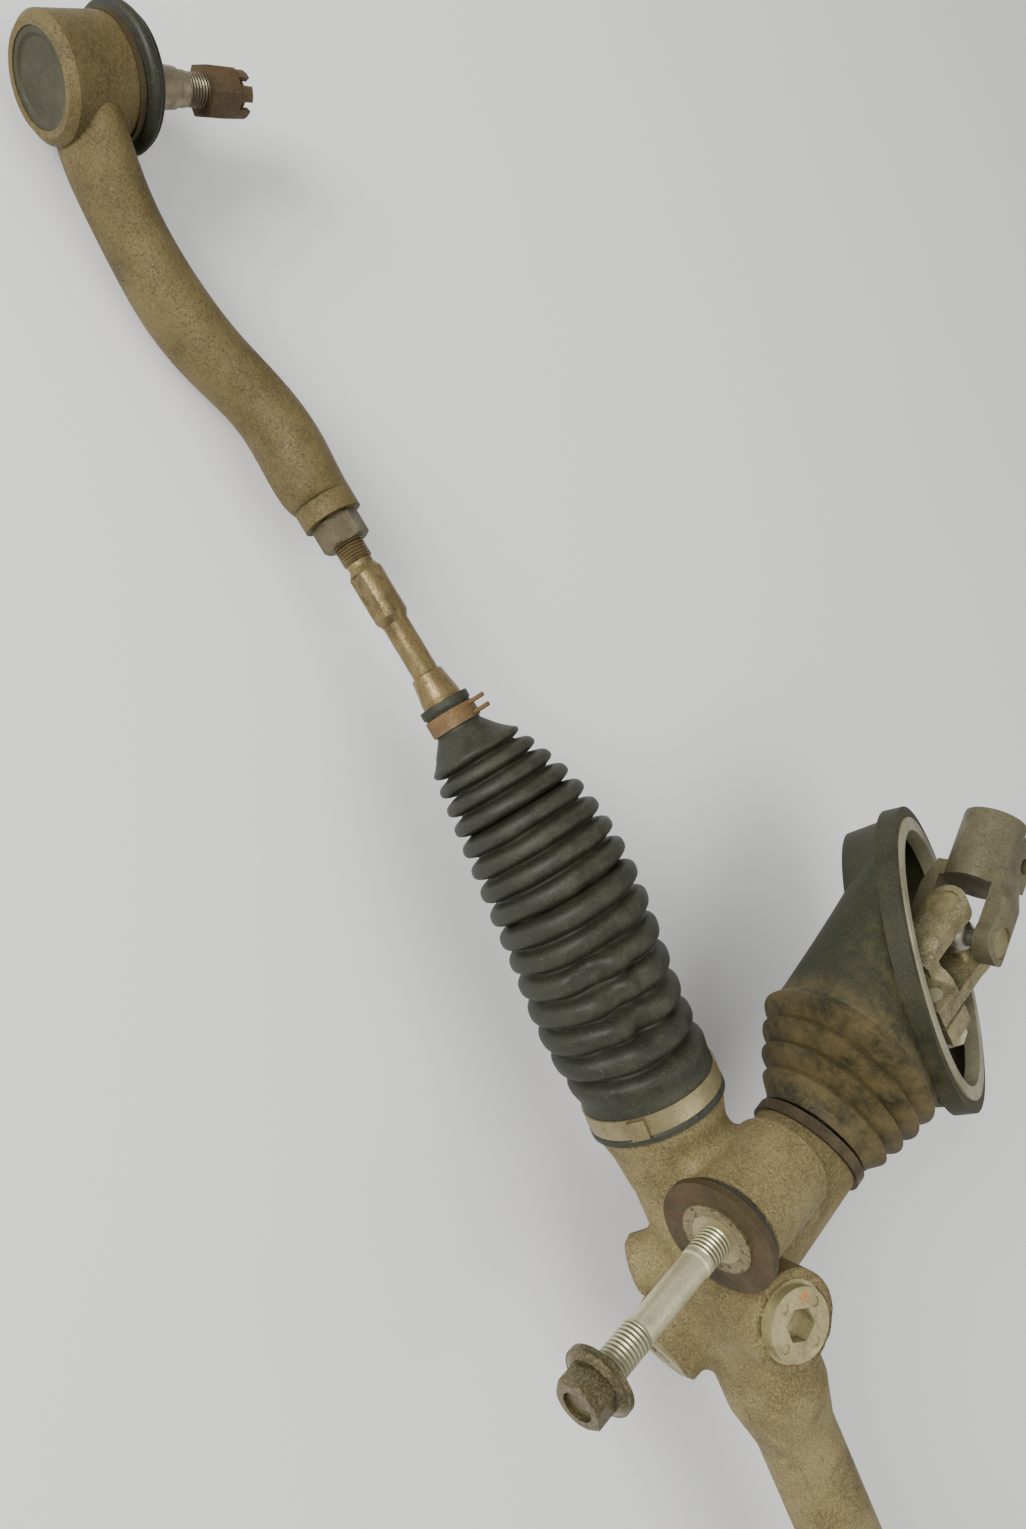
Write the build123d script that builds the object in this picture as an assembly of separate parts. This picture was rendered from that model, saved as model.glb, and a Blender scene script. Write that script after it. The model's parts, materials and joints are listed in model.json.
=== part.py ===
from build123d import *
import math
import os

os.makedirs("parts", exist_ok=True)

# Steering rack laid on its side: X along the rack bar, Y along the mounting bolts, Z up.
# The origin is the centre of the seat face of the mounting bush next to the pinion.

# ---- driving dimensions, mm and degrees ----
RACK_Y = -26.0            # rack axis, measured from the mounting seat face
RACK_Z = -32.0            # rack axis below the mounting bolt
RACK_R = 11.5             # rack bar radius
BALL_SPAN = 620.0         # distance between the two inner ball centres
BALL_X = -108.0           # inner ball centre next to the pinion
MID_X = BALL_X + BALL_SPAN / 2
MOUNT_SPAN = 360.0        # distance between the two mounting bolts
TRAVEL = 65.0             # rack travel each way

PINION_X = 51.0           # where the pinion crosses the rack bar
PINION_TILT = 15.0        # rack guide leans this far from the vertical
PINION_SKEW = 17.0        # pinion leans this far from square to the rack
CENTRE_DISTANCE = 16.0    # pinion axis to rack axis
MODULE = 1.85
TEETH = 8
PRESSURE = 25.0
SHIFT = 0.3               # profile shift, in modules
TIP_R = 9.3               # pinion tip radius
BACKLASH = 0.15           # taken off each tooth flank pair
RACK_TOOTH_SPAN = 160.0   # toothed length of the rack bar

DROOP = 11.0              # tie rod hangs this far below the rack axis
SWEEP = 0.8               # and leans this far to the bolt head side
BALL_R = 11.0             # inner ball
LINER = 1.9               # thickness of a plastic ball seat
GAP = 0.05                # running clearance, radial
SOCKET_R = 16.0

M12 = 6.0                 # nominal radius of every M12 thread
HEX_17 = 17.0             # across flats of the M12 nuts
TUBE_R = 17.0
NECK_R = 26.0             # bellows seat on the housing
CLAMP_X = -43.0           # middle of the large bellows clamp

HEAD = (-461.0, -56.0, -65.0)   # outer ball centre
HEAD_R = 20.5
STUD_LEAN = 6.0           # the stud leans this far out of the head axis
OUTER_BALL_R = 10.5

JOINT_AT = 200.0          # universal joint centre, along the pinion axis
BOLT_OUT = 68.5           # how far the mounting bolt is drawn out


def vec(p):
    return Vector(*p)


def unit(p):
    return Vector(*p).normalized()


def rad(a):
    return math.radians(a)


def frame(o, d, x=None):
    if x is None:
        return Plane(origin=vec(o), z_dir=vec(d))
    return Plane(origin=vec(o), x_dir=vec(x), z_dir=vec(d))


def at(o, d, s):
    return vec(o) + vec(d) * s


def bar(o, d, r, a, b):
    low = (Align.CENTER, Align.CENTER, Align.MIN)
    return frame(at(o, d, a), d) * Cylinder(r, b - a, align=low)


def pipe(o, d, outer, inner, a, b):
    return bar(o, d, outer, a, b) - bar(o, d, inner, a - 1, b + 1)


def taper(o, d, r1, r2, a, b):
    low = (Align.CENTER, Align.CENTER, Align.MIN)
    return frame(at(o, d, a), d) * Cone(r1, r2, b - a, align=low)


def turned(o, d, points):
    # points are (radius, distance along the axis), closed into a face and turned
    side = frame(o, d).x_dir
    sheet = Plane(origin=vec(o), x_dir=side, z_dir=side.cross(vec(d)))
    face = sheet * make_face(Polyline(*points, close=True))
    return revolve(face, Axis(vec(o), vec(d)), 360)


def hexagon(o, d, flats, a, b, x=None):
    corner = flats / 2 / math.cos(rad(30))
    return extrude(frame(at(o, d, a), d, x) * RegularPolygon(corner, 6), b - a)


def block(o, d, x, size, shift=(0, 0, 0)):
    return frame(o, d, x) * Pos(*shift) * Box(*size)


def ball(o, r):
    return Pos(*o) * Sphere(r)


def joined(parts):
    whole = parts[0]
    for p in parts[1:]:
        whole = whole + p
    return whole


def far(shape):
    return mirror(shape, Plane(origin=(MID_X, 0, 0), z_dir=(1, 0, 0)))


parts = {}

X = (1.0, 0.0, 0.0)
Y = (0.0, 1.0, 0.0)
OUT = (-1.0, 0.0, 0.0)
RACK = (0.0, RACK_Y, RACK_Z)
lean = rad(PINION_TILT)
skew = rad(PINION_SKEW)
GUIDE = (0.0, -math.sin(lean), math.cos(lean))
PIN = (-math.sin(skew), math.cos(skew) * math.cos(lean), math.cos(skew) * math.sin(lean))
CROSS = (PINION_X, RACK_Y, RACK_Z)
PINION = tuple(at(CROSS, GUIDE, -CENTRE_DISTANCE))
ALONG = tuple(vec(PIN).cross(vec(GUIDE)))     # across the pinion, in the tooth plane

droop = rad(DROOP)
swing = rad(SWEEP)
ROD = (-math.cos(droop) * math.cos(swing), -math.sin(swing) * math.cos(droop), -math.sin(droop))
BALL = (BALL_X, RACK_Y, RACK_Z)

# ---------------------------------------------------------------- rack bar
PITCH = math.pi * MODULE
RACK_LINE = CENTRE_DISTANCE - MODULE * TEETH / 2 - SHIFT * MODULE
TIP_PLANE = RACK_LINE + MODULE
ROOT_PLANE = RACK_LINE - 1.25 * MODULE
BAR_END = 26.0            # bar stops this far inboard of each ball centre
SCREW_R = 7.0             # socket screw threads into the bar end

bar_a = BALL_X + BAR_END
bar_b = BALL_X + BALL_SPAN - BAR_END
rack_bar = bar(RACK, X, RACK_R, bar_a, bar_b)
flat_low = TIP_PLANE + 10
rack_bar = rack_bar - block(CROSS, GUIDE, X, (RACK_TOOTH_SPAN, 40, 20), (0, 0, -flat_low))
slope = math.tan(rad(PRESSURE))
half = (PITCH / 2 + BACKLASH) / 2
top = half + (TIP_PLANE + 0.6 - RACK_LINE) * slope
low = half - (RACK_LINE - ROOT_PLANE) * slope
count = int(RACK_TOOTH_SPAN / 2 * math.cos(skew) / PITCH) - 1
space = Polyline((-top, -TIP_PLANE - 0.6), (top, -TIP_PLANE - 0.6), (low, -ROOT_PLANE),
                 (-low, -ROOT_PLANE), close=True)
cutters = []
for k in range(-count, count + 1):
    centre = at(CROSS, X, k * PITCH / math.cos(skew))
    sheet = Plane(origin=centre, x_dir=vec(ALONG), z_dir=vec(ALONG).cross(vec(GUIDE)))
    cutters.append(extrude(sheet * make_face(space), 20, both=True))
rack_bar = rack_bar - cutters
rack_bar = rack_bar - bar(RACK, X, SCREW_R, bar_a - 1, bar_a + 22)
rack_bar = rack_bar - bar(RACK, X, SCREW_R, bar_b - 22, bar_b + 1)
parts["rack_bar"] = rack_bar

# ---------------------------------------------------------------- inner sockets
CAVITY_R = BALL_R + GAP + LINER
MOUTH = 52.0              # half angle of the socket mouth


def mouth_cone(centre, axis, length, angle):
    return taper(centre, axis, 0.01, length * math.tan(rad(angle)), 0, length)


socket = turned(BALL, OUT, [(0, -BAR_END + 0.6), (13, -BAR_END + 0.6), (SOCKET_R, -20),
                            (SOCKET_R, 6), (14.2, 9.5), (0, 9.5)])
socket = socket - ball(BALL, CAVITY_R) - mouth_cone(BALL, OUT, 20, MOUTH)
for side in (-1, 1):
    socket = socket - Pos(BALL_X + 14, RACK_Y, RACK_Z + side * (SOCKET_R - 1.0 + 4)) * Box(9, 40, 8)
socket = socket + bar(BALL, X, SCREW_R, BAR_END - 0.7, BAR_END + 20)
parts["inner_socket_near"] = socket
parts["inner_socket_far"] = far(socket)

washer = pipe(BALL, X, 12.6, SCREW_R, BAR_END - 0.6, BAR_END)
lip = pipe(BALL, X, 12.6, RACK_R + GAP, BAR_END - 0.6, BAR_END + 4)
for turn in (0, 120, 240):
    tab = Pos(BALL_X + BAR_END, RACK_Y, RACK_Z) * Rot(turn + 90, 0, 0) * Pos(0, 0, 12)
    washer = washer + (lip & tab * Box(9, 6, 6))
parts["lock_washer_near"] = washer
parts["lock_washer_far"] = far(washer)

seat = ball(BALL, CAVITY_R - GAP / 2) - ball(BALL, BALL_R + GAP / 2)
seat = seat - mouth_cone(BALL, ROD, 30, MOUTH - 2) - bar(BALL, X, 4, 0, 20)
parts["inner_seat_near"] = seat
parts["inner_seat_far"] = far(seat)

# ---------------------------------------------------------------- inner tie rod
NECK = 5.5
ROD_INNER = 8.0           # shank under the bellows neck
NECK_SEAT = 96.0          # bellows neck starts
STEP_AT = 120.0
THIN_R = 5.25
FLATS_A, FLATS_B = 146.0, 168.0
NUT_A, NUT_B = 178.0, 189.0
THREAD_END = 224.0

rod = turned(BALL, ROD, [(0, 0), (NECK, 0), (NECK, 20), (ROD_INNER, 25), (ROD_INNER, 110),
                         (6.4, STEP_AT), (THIN_R, STEP_AT + 0.6), (THIN_R, FLATS_A - 3),
                         (6.8, FLATS_A), (6.8, FLATS_B - 3), (5.2, FLATS_B),
                         (5.2, FLATS_B + 2), (M12 - 0.1, FLATS_B + 2.7),
                         (M12 - 0.1, THREAD_END - 1.5), (4.6, THREAD_END), (0, THREAD_END)])
for side in (-1, 1):
    rod = rod - block(BALL, ROD, Y, (10, 40, 17), (side * (5.5 + 5), 0, (FLATS_A + FLATS_B) / 2))
rod = rod + ball(BALL, BALL_R)
parts["tie_rod_near"] = rod
parts["tie_rod_far"] = far(rod)

nut = hexagon(BALL, ROD, HEX_17, NUT_A, NUT_B)
nut = nut & turned(BALL, ROD, [(0, NUT_A), (8.4, NUT_A), (9.9, NUT_A + 1), (9.9, NUT_B - 1),
                               (8.4, NUT_B), (0, NUT_B)])
nut = nut - bar(BALL, ROD, M12 - 0.1, NUT_A - 1, NUT_B + 1)
parts["jam_nut_near"] = nut
parts["jam_nut_far"] = far(nut)

# ---------------------------------------------------------------- outer tie rod end
CAP_BACK = 15.0           # closed face behind the ball centre
HEAD_FRONT = 14.0
GROOVE_R = 19.2           # boot seat round the mouth of the head
OUTER_CAVITY = OUTER_BALL_R + GAP + LINER
SLEEVE_R = 11.8

sleeve = bar(BALL, ROD, SLEEVE_R, NUT_B, NUT_B + 16)
curve = [(-303.5, -29.7, -69.6), (-322.3, -31.2, -71.6), (-342.6, -34.6, -73.6),
         (-364.0, -42.0, -77.4), (-384.3, -48.0, -79.0), (-404.4, -52.4, -77.6),
         (-422.0, -55.6, -74.6), (-440.0, -57.4, -70.6), (-456.0, -57.2, -66.4)]
wide = [12.4, 14.6, 13.8, 14.2, 14.8, 14.4, 15.2, 17.2, 16.0]
deep = [12.2, 12.4, 11.6, 11.8, 12.0, 11.4, 10.8, 10.2, 9.4]
start = tuple(at(BALL, ROD, NUT_B + 8))
stations = [start] + curve
rings = []
for i, p in enumerate(stations):
    before = vec(stations[max(i - 1, 0)])
    after = vec(stations[min(i + 1, len(stations) - 1)])
    run = vec(ROD) if i == 0 else (after - before).normalized()
    w = SLEEVE_R if i == 0 else wide[i - 1]
    t = SLEEVE_R if i == 0 else deep[i - 1]
    across = vec(Y) - run * run.dot(vec(Y))
    rings.append(Plane(origin=vec(p), x_dir=across, z_dir=run) * Ellipse(t, w))
arm = loft(rings)
head = turned(HEAD, Y, [(0, -CAP_BACK), (18.0, -CAP_BACK), (HEAD_R, -CAP_BACK + 2.5),
                        (HEAD_R, 10.4), (GROOVE_R, 10.4), (GROOVE_R, HEAD_FRONT), (0, HEAD_FRONT)])
rod_end = sleeve + arm + head
rod_end = rod_end - ball(HEAD, OUTER_CAVITY)
rod_end = rod_end - bar(HEAD, Y, OUTER_CAVITY, -CAP_BACK + 3, 0)
rod_end = rod_end - bar(HEAD, Y, 15.6, -CAP_BACK - 1, -CAP_BACK + 3.2)
rod_end = rod_end - mouth_cone(HEAD, Y, 20, MOUTH)
rod_end = rod_end - bar(BALL, ROD, M12 - 0.1, NUT_B - 1, THREAD_END + 4)
parts["tie_rod_end_near"] = rod_end
parts["tie_rod_end_far"] = far(rod_end)

cap = turned(HEAD, Y, [(0, -CAP_BACK + 1.2), (12.5, -CAP_BACK + 1.2), (13.5, -CAP_BACK + 0.4),
                       (15.6, -CAP_BACK + 0.4), (15.6, -CAP_BACK + 3.2), (0, -CAP_BACK + 3.2)])
cap = cap - ball(HEAD, OUTER_CAVITY)
parts["end_cap_near"] = cap
parts["end_cap_far"] = far(cap)

STUD = (math.sin(rad(STUD_LEAN)), math.cos(rad(STUD_LEAN)), 0.0)
outer_seat = ball(HEAD, OUTER_CAVITY - GAP / 2) - ball(HEAD, OUTER_BALL_R + GAP / 2)
outer_seat = outer_seat - mouth_cone(HEAD, STUD, 30, MOUTH - 2)
outer_seat = outer_seat - bar(HEAD, Y, 30, -30, -OUTER_CAVITY + 0.9)
parts["outer_seat_near"] = outer_seat
parts["outer_seat_far"] = far(outer_seat)

STUD_NECK = 5.4
TAPER_A, TAPER_B = 26.0, 37.0
STUD_END = 66.0
stud = turned(HEAD, STUD, [(0, 0), (STUD_NECK, 0), (STUD_NECK, 17), (7.9, 23), (7.9, TAPER_A),
                           (7.1, TAPER_B), (6.3, TAPER_B + 0.8), (6.3, 41), (M12 - 0.1, 41.6),
                           (M12 - 0.1, STUD_END - 1.2), (4.8, STUD_END), (0, STUD_END)])
stud = stud + ball(HEAD, OUTER_BALL_R)
parts["ball_stud_near"] = stud
parts["ball_stud_far"] = far(stud)

CASTLE_A, CASTLE_B = 49.0, 66.5
castle = hexagon(HEAD, STUD, HEX_17, CASTLE_A, CASTLE_B - 5.5)
castle = castle & bar(HEAD, STUD, 9.7, CASTLE_A, CASTLE_B)
castle = castle + bar(HEAD, STUD, 8.4, CASTLE_B - 5.5, CASTLE_B)
castle = castle - bar(HEAD, STUD, M12 - 0.1, CASTLE_A - 1, CASTLE_B + 1)
for k in range(3):
    slot = frame(at(HEAD, STUD, CASTLE_B), STUD) * Rot(0, 0, 60 * k) * Box(3.2, 30, 10)
    castle = castle - slot
parts["castle_nut_near"] = castle
parts["castle_nut_far"] = far(castle)

# rubber boot between the head and the stud: rings turn from the head axis to the stud axis
def boot_skin(rings):
    sections = []
    for r, d, share in rings:
        axis = (vec(Y) * (1 - share) + vec(STUD) * share).normalized()
        o = at(HEAD, tuple(axis), d)
        sections.append(Plane(origin=o, x_dir=(1, 0, 0), z_dir=axis) * Circle(r))
    return loft(sections, ruled=True)


boot_out = boot_skin([(20.6, 10.5, 0), (20.6, 12.6, 0), (24.4, 14.2, 0), (24.8, 17.0, 0.1),
                      (23.2, 19.4, 0.3), (17.5, 22.4, 0.7), (10.6, 24.4, 1), (10.6, 26.4, 1)])
boot_in = boot_skin([(GROOVE_R, 10.4, 0), (GROOVE_R, 14.0, 0), (22.8, 15.6, 0.05),
                     (22.8, 17.4, 0.2), (16.5, 20.6, 0.7), (7.95, 23.4, 1), (7.95, 26.5, 1)])
parts["outer_boot_near"] = boot_out - boot_in
parts["outer_boot_far"] = far(parts["outer_boot_near"])
ring = pipe(HEAD, Y, 21.4, 20.6, 10.5, 12.5)
parts["boot_ring_near"] = ring
parts["boot_ring_far"] = far(ring)

# ---------------------------------------------------------------- bellows
FOLDS = 15
WALL = 1.2
FIRST_CREST = 13.5
PITCH_A, PITCH_STEP = 12.4, 0.4
NECK_OUT = 10.2
STRAIGHT = CLAMP_X - BALL_X       # clamp centre to ball centre, along the rack
CONE_START = STRAIGHT + NECK_SEAT


def crest_radius(s):
    away = (s - 80.0) / 70.0
    return 30.2 - (11.0 if away > 0 else 1.8) * away * away


def bellows_profile():
    # (radius, distance from the clamp along the centre line) of the outside
    points = [(NECK_R + WALL + 0.9, -7.0), (NECK_R + WALL + 0.9, -4.2), (NECK_R + WALL, -4.0),
              (NECK_R + WALL, 4.0), (NECK_R + WALL + 0.8, 5.0)]
    s = FIRST_CREST
    for k in range(FOLDS):
        gap = PITCH_A - PITCH_STEP * k
        points.append((crest_radius(s) - 0.5, s - 0.9))
        points.append((crest_radius(s) - 0.5, s + 0.9))
        if k < FOLDS - 1:
            deep_r = crest_radius(s + gap / 2) - 5.5
            points.append((deep_r, s + gap / 2 - 0.6))
            points.append((deep_r, s + gap / 2 + 0.6))
        s += gap
    points.append((12.4, CONE_START))
    points.append((ROD_INNER + 1.2 + 0.3, CONE_START + 0.5))
    points.append((ROD_INNER + 1.2 + 0.3, CONE_START + 8.5))
    points.append((NECK_OUT, CONE_START + 9))
    points.append((NECK_OUT, CONE_START + 12))
    return points


def shell(points, limit, keep_low):
    # inside line follows the outside line one wall thickness in
    inner = [(max(r - WALL, ROD_INNER), s) for r, s in points]
    kept = [q for q in points if (q[1] <= limit if keep_low else q[1] >= limit)]
    kept_in = [q for q in inner if (q[1] <= limit if keep_low else q[1] >= limit)]
    return kept, kept_in


profile = bellows_profile()
low_out, low_in = shell(profile, STRAIGHT + 1.5, True)
high_out, high_in = shell(profile, STRAIGHT - 1.5, False)
base = (CLAMP_X, RACK_Y, RACK_Z)
lower = turned(base, OUT, low_out + low_in[::-1])
upper_base = tuple(at(BALL, ROD, -STRAIGHT))
upper = turned(upper_base, ROD, high_out + high_in[::-1])
bellows = lower + upper
parts["bellows_near"] = bellows
parts["bellows_far"] = far(bellows)

CLAMP_W = 8.0
big_clamp = pipe(base, OUT, NECK_R + WALL + 0.7, NECK_R + WALL, -CLAMP_W / 2, CLAMP_W / 2)
buckle_dir = Vector(0, -math.cos(rad(28)), math.sin(rad(28)))
buckle = frame(at(base, tuple(buckle_dir), NECK_R + WALL + 1.7), tuple(buckle_dir), X)
big_clamp = big_clamp + buckle * Box(CLAMP_W - 0.4, 7, 2.4)
parts["bellows_clamp_near"] = big_clamp
parts["bellows_clamp_far"] = far(big_clamp)

SMALL_A = NECK_SEAT + 1.0
small_clamp = pipe(BALL, ROD, NECK_OUT + 0.1, ROD_INNER + 1.5, SMALL_A, SMALL_A + 6.6)
tang_dir = (Vector(0, 0.25, 1) - vec(ROD) * vec(ROD).dot(Vector(0, 0.25, 1))).normalized()
for shift in (1.2, 5.4):
    tang = at(tuple(at(BALL, ROD, SMALL_A + shift)), tuple(tang_dir), NECK_OUT)
    small_clamp = small_clamp + bar(tang, tuple(tang_dir), 0.9, -0.4, 7.5)
parts["small_clamp_near"] = small_clamp
parts["small_clamp_far"] = far(small_clamp)

# ---------------------------------------------------------------- pinion
ROOT_R = MODULE * TEETH / 2 - (1.25 - SHIFT) * MODULE
PITCH_R = MODULE * TEETH / 2
BASE_R = PITCH_R * math.cos(rad(PRESSURE))
GEAR_HALF = 13.0


def involute_angle(r):
    a = math.acos(min(1.0, BASE_R / r))
    return math.tan(a) - a


def tooth_half_angle(r):
    thick = MODULE * (math.pi / 2 + 2 * SHIFT * math.tan(rad(PRESSURE))) - BACKLASH
    return thick / 2 / PITCH_R + involute_angle(PITCH_R) - involute_angle(max(r, BASE_R))


def polar(r, a):
    return (r * math.cos(a), r * math.sin(a))


STEPS = 6
outline = []
for k in range(TEETH):
    mid = 2 * math.pi * k / TEETH
    radii = [BASE_R + (TIP_R - BASE_R) * i / STEPS for i in range(STEPS + 1)]
    outline.append(polar(ROOT_R, mid - tooth_half_angle(BASE_R)))
    outline += [polar(r, mid - tooth_half_angle(r)) for r in radii]
    outline += [polar(r, mid + tooth_half_angle(r)) for r in reversed(radii)]
    outline.append(polar(ROOT_R, mid + tooth_half_angle(BASE_R)))
gear_frame = Plane(origin=at(PINION, PIN, -GEAR_HALF), x_dir=vec(GUIDE), z_dir=vec(PIN))
gear = extrude(gear_frame * make_face(Polyline(*outline, close=True)), 2 * GEAR_HALF)

JOURNAL_R = 5.5
SHAFT_R = 8.5
SPLINE_R = 8.0
SHAFT_END = 176.0
shaft = turned(PINION, PIN, [(0, -30), (JOURNAL_R - 0.5, -30), (JOURNAL_R, -29.5),
                             (JOURNAL_R, -GEAR_HALF), (0, -GEAR_HALF)])
shaft = shaft + gear
shaft = shaft + turned(PINION, PIN, [(0, GEAR_HALF), (SHAFT_R, GEAR_HALF), (SHAFT_R, 64),
                                     (SPLINE_R, 66), (SPLINE_R, SHAFT_END - 1),
                                     (SPLINE_R - 1, SHAFT_END), (0, SHAFT_END)])
parts["pinion_shaft"] = shaft

BEAR_A, BEAR_B = 25.0, 35.0
RACE_IN, RACE_OUT = 11.2, 14.8
BALL_RING, BEAD_R = 13.0, 2.4
middle = tuple(at(PINION, PIN, (BEAR_A + BEAR_B) / 2))
groove = frame(middle, PIN) * Torus(BALL_RING, BEAD_R + GAP)
inner_race = pipe(PINION, PIN, RACE_IN, SHAFT_R, BEAR_A, BEAR_B) - groove
outer_race = pipe(PINION, PIN, 17.5, RACE_OUT, BEAR_A, BEAR_B)
parts["pinion_bearing_inner"] = inner_race
cage = pipe(PINION, PIN, 13.6, 12.4, BEAR_A + 3, BEAR_B - 3)
beads = []
for k in range(9):
    spot = frame(middle, PIN) * Rot(0, 0, 40 * k) * Pos(BALL_RING, 0, 0) * Rot(90, 0, 0)
    beads.append(spot * Sphere(BEAD_R))
parts["pinion_bearing_outer"] = joined([outer_race, cage] + beads)
needle = pipe(PINION, PIN, 9.0, JOURNAL_R + GAP, -28, -16)
parts["pinion_needle_bearing"] = needle
retainer = pipe(PINION, PIN, 19.0, 12.0, BEAR_B, 41)
for k in range(4):
    notch = frame(at(PINION, PIN, 41), PIN) * Rot(0, 0, 90 * k) * Pos(17.4, 0, 0) * Box(4, 4, 4)
    retainer = retainer - notch
parts["bearing_retainer"] = retainer
seal = pipe(PINION, PIN, 16.0, SHAFT_R + GAP, 54, 60)
parts["pinion_seal"] = seal
end_cap = bar(PINION, PIN, 12.5, -37, -32) - hexagon(PINION, PIN, 10, -38, -34)
parts["pinion_end_cap"] = end_cap

# ---------------------------------------------------------------- rack guide
GUIDE_R = 13.5
guide = bar(CROSS, GUIDE, GUIDE_R - GAP, 3, 25) - bar(RACK, X, RACK_R + GAP + 0.6, 0, 110)
guide = guide - bar(CROSS, GUIDE, 7.0, 16, 26)
parts["rack_guide"] = guide
liner = pipe(RACK, X, RACK_R + GAP + 0.6, RACK_R + GAP, 40, 62)
liner = liner & bar(CROSS, GUIDE, GUIDE_R - 1.5, 3.4, 25)
parts["rack_guide_liner"] = liner
SPRING_R, WIRE_R = 5.4, 0.9
coil = frame(at(CROSS, GUIDE, 17.0), GUIDE) * Helix(3.4, 10.2, SPRING_R)
spring = sweep(Plane(origin=coil @ 0, z_dir=coil % 0) * Circle(WIRE_R), coil)
parts["rack_guide_spring"] = spring

PLUG_TOP = 38.0
PLUG_R = 15.6
plug = bar(CROSS, GUIDE, PLUG_R, 28.2, 34) + bar(CROSS, GUIDE, PLUG_R - 1.5, 34, PLUG_TOP)
plug = plug - hexagon(CROSS, GUIDE, 12, PLUG_TOP - 5.5, PLUG_TOP + 1, X)
for k in range(4):
    mark = frame(at(CROSS, GUIDE, PLUG_TOP), GUIDE) * Rot(0, 0, 20 + 90 * k) * Pos(10.4, 0, 0)
    plug = plug - mark * Cylinder(2.0, 1.4)
parts["rack_guide_cap"] = plug

# ---------------------------------------------------------------- mounting bushes
BOSS_R = 20.5
BUSH_R = 16.0
SLEEVE_IN, SLEEVE_OUT = 6.1, 10.0
SLEEVE_LEN = 54.0
MOUNTS = {"near": 0.0, "far": MOUNT_SPAN}
for name, x in MOUNTS.items():
    o = (x, 0, 0)
    parts["mount_sleeve_" + name] = pipe(o, Y, SLEEVE_OUT, SLEEVE_IN, -SLEEVE_LEN, 0)
    rubber = pipe(o, Y, BUSH_R, SLEEVE_OUT, -47, -5)
    rubber = rubber + pipe(o, Y, 21.5, SLEEVE_OUT, -50, -47)
    parts["mount_rubber_" + name] = rubber
    plate = pipe(o, Y, 23.4, SLEEVE_OUT, -53.2, -50)
    plate = plate + pipe(o, Y, 14.5, SLEEVE_OUT, -53.9, -53.2)
    parts["mount_washer_" + name] = plate

FLANGE_Y = -SLEEVE_LEN - BOLT_OUT - 0.9
bolt = turned((0, FLANGE_Y, 0), Y, [(0, 0), (M12, 0), (M12, 20), (5.6, 21), (5.6, 55), (M12, 56),
                                    (M12, 98.5), (4.8, 100), (0, 100)])
bolt = bolt + bar((0, FLANGE_Y, 0), Y, 13.2, -2.2, 0)
bolt = bolt + taper((0, FLANGE_Y, 0), Y, 10.2, 12.6, -4.0, -2.2)
bolt = bolt + (hexagon((0, FLANGE_Y, 0), Y, HEX_17, -13, -2)
               & turned((0, FLANGE_Y, 0), Y, [(0, -13), (8.3, -13), (9.9, -12), (9.9, 0), (0, 0)]))
bolt = bolt - bar((0, FLANGE_Y, 0), Y, 5.6, -13.5, -11.5)
parts["mounting_bolt"] = bolt

# ---------------------------------------------------------------- housing
FAR_CLAMP_X = 2 * MID_X - CLAMP_X
TOWER_TOP = 74.0
TOWER_R = 24.5
seat_end = 9.0            # housing runs this far past the clamp centre


def neck(clamp_x, inward):
    d = X if inward > 0 else OUT
    o = (clamp_x, RACK_Y, RACK_Z)
    return turned(o, d, [(0, -seat_end), (NECK_R - 0.6, -seat_end), (NECK_R, -seat_end + 0.8),
                         (NECK_R, 11), (NECK_R - 2, 18), (22, 34), (0, 34)])


casting = neck(CLAMP_X, 1) + bar(RACK, X, 21.5, -30, 96)
casting = casting + taper(RACK, X, 21.5, TUBE_R, 96, 116)
casting = casting + bar(RACK, X, TUBE_R, 110, FAR_CLAMP_X - 20)
far_neck = neck(FAR_CLAMP_X, -1) + taper(RACK, X, TUBE_R, 22, FAR_CLAMP_X - 60, FAR_CLAMP_X - 30)
casting = casting + far_neck
casting = casting + taper(PINION, PIN, 16, 22, -38, 14) + bar(PINION, PIN, TOWER_R, 14, TOWER_TOP)
casting = casting + turned(PINION, PIN, [(0, 8), (21, 8), (TOWER_R, 16), (0, 16)])
casting = casting + bar(CROSS, GUIDE, 19.7, 0, PLUG_TOP - 1.6)
for x in MOUNTS.values():
    casting = casting + bar((x, 0, 0), Y, BOSS_R, -47, -6)
    web = Pos(x, -26.5, RACK_Z / 2) * Box(36, 30, 32)
    casting = casting + web
ridge = Pos(0, RACK_Y, RACK_Z) * Rot(62, 0, 0) * Pos((110 + FAR_CLAMP_X - 50) / 2, 0, TUBE_R)
casting = casting + ridge * Box(FAR_CLAMP_X - 50 - 110, 3.2, 3.0)
lug_dir = (0.0, -0.62, -0.78)
casting = casting + bar((27, RACK_Y, RACK_Z), unit(lug_dir), 12.5, 10, 35)
casting = casting + ball((22, -7, 2), 5.5)

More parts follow.
